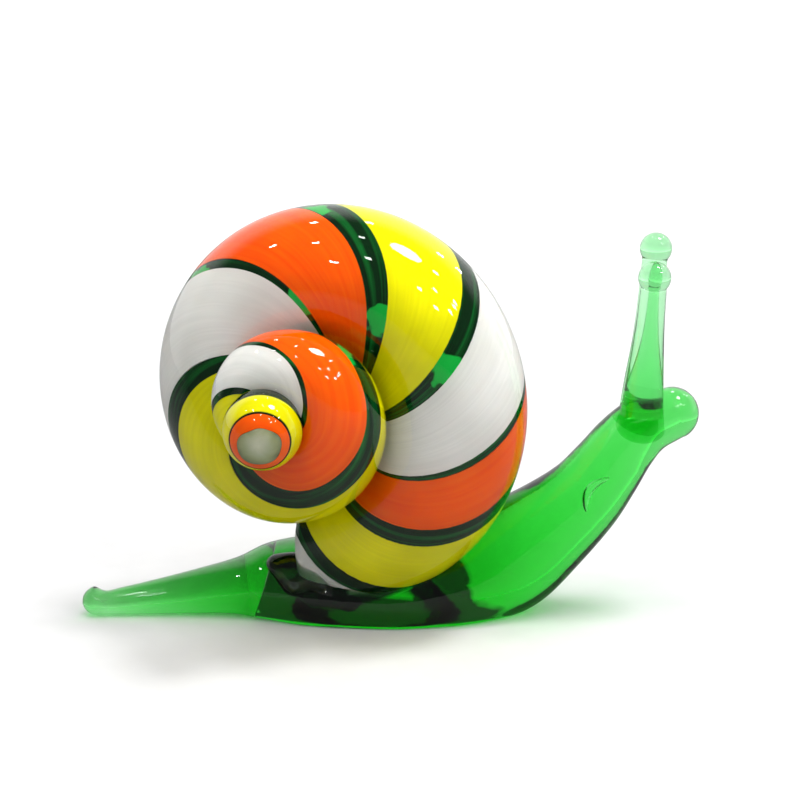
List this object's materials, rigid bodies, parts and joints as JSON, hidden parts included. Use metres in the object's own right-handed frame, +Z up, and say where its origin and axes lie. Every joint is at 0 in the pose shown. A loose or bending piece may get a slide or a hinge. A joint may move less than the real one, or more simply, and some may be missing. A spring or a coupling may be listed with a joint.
{
  "type": "snail figurine",
  "caption": "Lampworked glass snail with a coiled, striped shell, a flat green foot, a raised neck and ball-ended tentacles.",
  "frame": {"origin": "middle of the flat sole, on the surface that the figurine stands on", "axes": "+X to the snail's head, +Z up, the shell's apex points to -Y"},
  "size_m": [0.0618, 0.0266, 0.0417],
  "materials": {
    "green_glass": "fire polished, transparent green",
    "core_glass": "transparent dark green",
    "white_glass": "opaque white",
    "yellow_glass": "opaque yellow",
    "orange_glass": "opaque orange",
    "clear_glass": "fire polished, clear"
  },
  "bodies": {
    "root": {"foot_and_neck": "green_glass", "tail": "green_glass", "near_tentacle": "green_glass", "far_tentacle": "green_glass", "weld": "green_glass", "cane_core": "core_glass", "drop_core": "core_glass", "white_stripe": "white_glass", "yellow_stripe": "yellow_glass", "drop_yellow_ring": "yellow_glass", "orange_stripe": "orange_glass", "drop_orange_ring": "orange_glass", "cane_casing": "clear_glass", "drop_casing": "clear_glass"}
  },
  "joints": []
}
